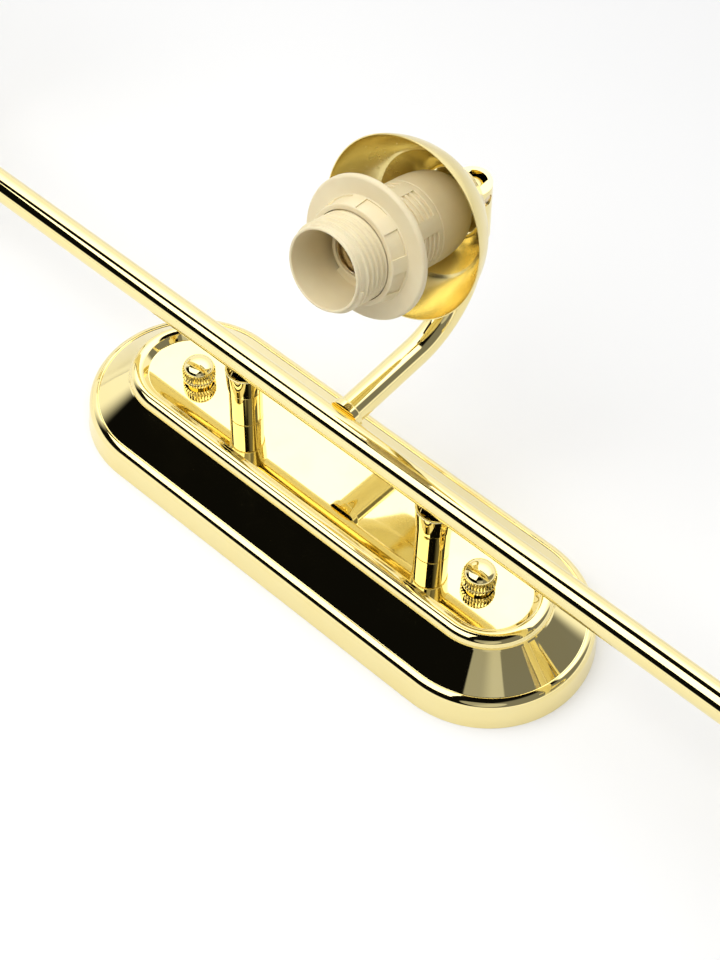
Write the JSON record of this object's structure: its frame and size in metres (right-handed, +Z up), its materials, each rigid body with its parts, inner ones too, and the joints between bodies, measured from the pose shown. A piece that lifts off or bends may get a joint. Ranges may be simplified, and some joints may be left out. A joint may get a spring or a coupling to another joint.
{
  "type": "wall lamp",
  "caption": "Wall-mounted spot bar: beaded oval backplate, straight tube on short posts, bent arms and tilting cup heads with screw lampholders and threaded shade rings.",
  "frame": {"origin": "on the wall, at the middle of the strap and of the backplate's back", "axes": "+X along the bar to the right as seen from the room, +Y into the wall, +Z up; the lamp stands out towards -Y"},
  "size_m": [0.5564, 0.1412, 0.1032],
  "materials": {
    "polished_brass": "mirror polished and lacquered",
    "zinc_steel": "zinc plated",
    "cream_plastic": "moulded, semi-gloss",
    "contact_brass": "plain turned",
    "white_plastic": "moulded"
  },
  "bodies": {
    "wall_frame": {"backplate": "polished_brass", "wall_bracket": "zinc_steel", "bracket_studs": "zinc_steel", "stud_lock_nuts": "zinc_steel", "terminal_block": "white_plastic", "terminal_screws": "contact_brass", "earth_screw": "contact_brass", "earth_washer": "contact_brass", "post_left": "polished_brass", "post_right": "polished_brass", "post_washers": "zinc_steel", "post_nuts": "zinc_steel", "saddle_left": "polished_brass", "saddle_right": "polished_brass", "bar": "polished_brass", "end_cap_left": "polished_brass", "end_cap_right": "polished_brass", "arm_collars": "polished_brass", "arm_left": "polished_brass", "knuckle_left": "polished_brass", "pivot_pin_left": "contact_brass", "arm_centre": "polished_brass", "knuckle_centre": "polished_brass", "pivot_pin_centre": "contact_brass", "arm_right": "polished_brass", "knuckle_right": "polished_brass", "pivot_pin_right": "contact_brass"},
    "head_left": {"tongue_left": "polished_brass", "cup_left": "polished_brass", "cup_washer_left": "polished_brass", "stem_nut_left": "zinc_steel", "rear_cap_left": "cream_plastic", "sleeve_left": "cream_plastic", "contact_carrier_left": "cream_plastic", "screw_shell_left": "contact_brass", "centre_contact_left": "contact_brass"},
    "ring_left": {"shade_ring_left": "cream_plastic"},
    "head_centre": {"tongue_centre": "polished_brass", "cup_centre": "polished_brass", "cup_washer_centre": "polished_brass", "stem_nut_centre": "zinc_steel", "rear_cap_centre": "cream_plastic", "sleeve_centre": "cream_plastic", "contact_carrier_centre": "cream_plastic", "screw_shell_centre": "contact_brass", "centre_contact_centre": "contact_brass"},
    "ring_centre": {"shade_ring_centre": "cream_plastic"},
    "head_right": {"tongue_right": "polished_brass", "cup_right": "polished_brass", "cup_washer_right": "polished_brass", "stem_nut_right": "zinc_steel", "rear_cap_right": "cream_plastic", "sleeve_right": "cream_plastic", "contact_carrier_right": "cream_plastic", "screw_shell_right": "contact_brass", "centre_contact_right": "contact_brass"},
    "ring_right": {"shade_ring_right": "cream_plastic"},
    "nut_left": {"cap_nut_left": "polished_brass"},
    "nut_right": {"cap_nut_right": "polished_brass"}
  },
  "joints": [
    {"name": "head_tilt_left", "type": "hinge", "parent": "wall_frame", "child": "head_left", "pos_m": [-0.25, -0.10548, 0.06012], "axis": [1, 0, 0], "range_deg": [-68, 18]},
    {"name": "shade_ring_turn_left", "type": "hinge", "parent": "head_left", "child": "ring_left", "pos_m": [-0.25, -0.11873, 0.0085], "axis": [0, -0.2487, -0.9686], "continuous": true},
    {"name": "head_tilt_centre", "type": "hinge", "parent": "wall_frame", "child": "head_centre", "pos_m": [0, -0.10548, 0.06012], "axis": [1, 0, 0], "range_deg": [-68, 18]},
    {"name": "shade_ring_turn_centre", "type": "hinge", "parent": "head_centre", "child": "ring_centre", "pos_m": [0, -0.11873, 0.0085], "axis": [0, -0.2487, -0.9686], "continuous": true},
    {"name": "head_tilt_right", "type": "hinge", "parent": "wall_frame", "child": "head_right", "pos_m": [0.25, -0.10548, 0.06012], "axis": [1, 0, 0], "range_deg": [-68, 18]},
    {"name": "shade_ring_turn_right", "type": "hinge", "parent": "head_right", "child": "ring_right", "pos_m": [0.25, -0.11873, 0.0085], "axis": [0, -0.2487, -0.9686], "continuous": true},
    {"name": "cap_nut_turn_left", "type": "hinge", "parent": "wall_frame", "child": "nut_left", "pos_m": [-0.0603, -0.0217, 0], "axis": [0, -1, 0], "continuous": true},
    {"name": "cap_nut_turn_right", "type": "hinge", "parent": "wall_frame", "child": "nut_right", "pos_m": [0.0603, -0.0217, 0], "axis": [0, -1, 0], "continuous": true}
  ]
}
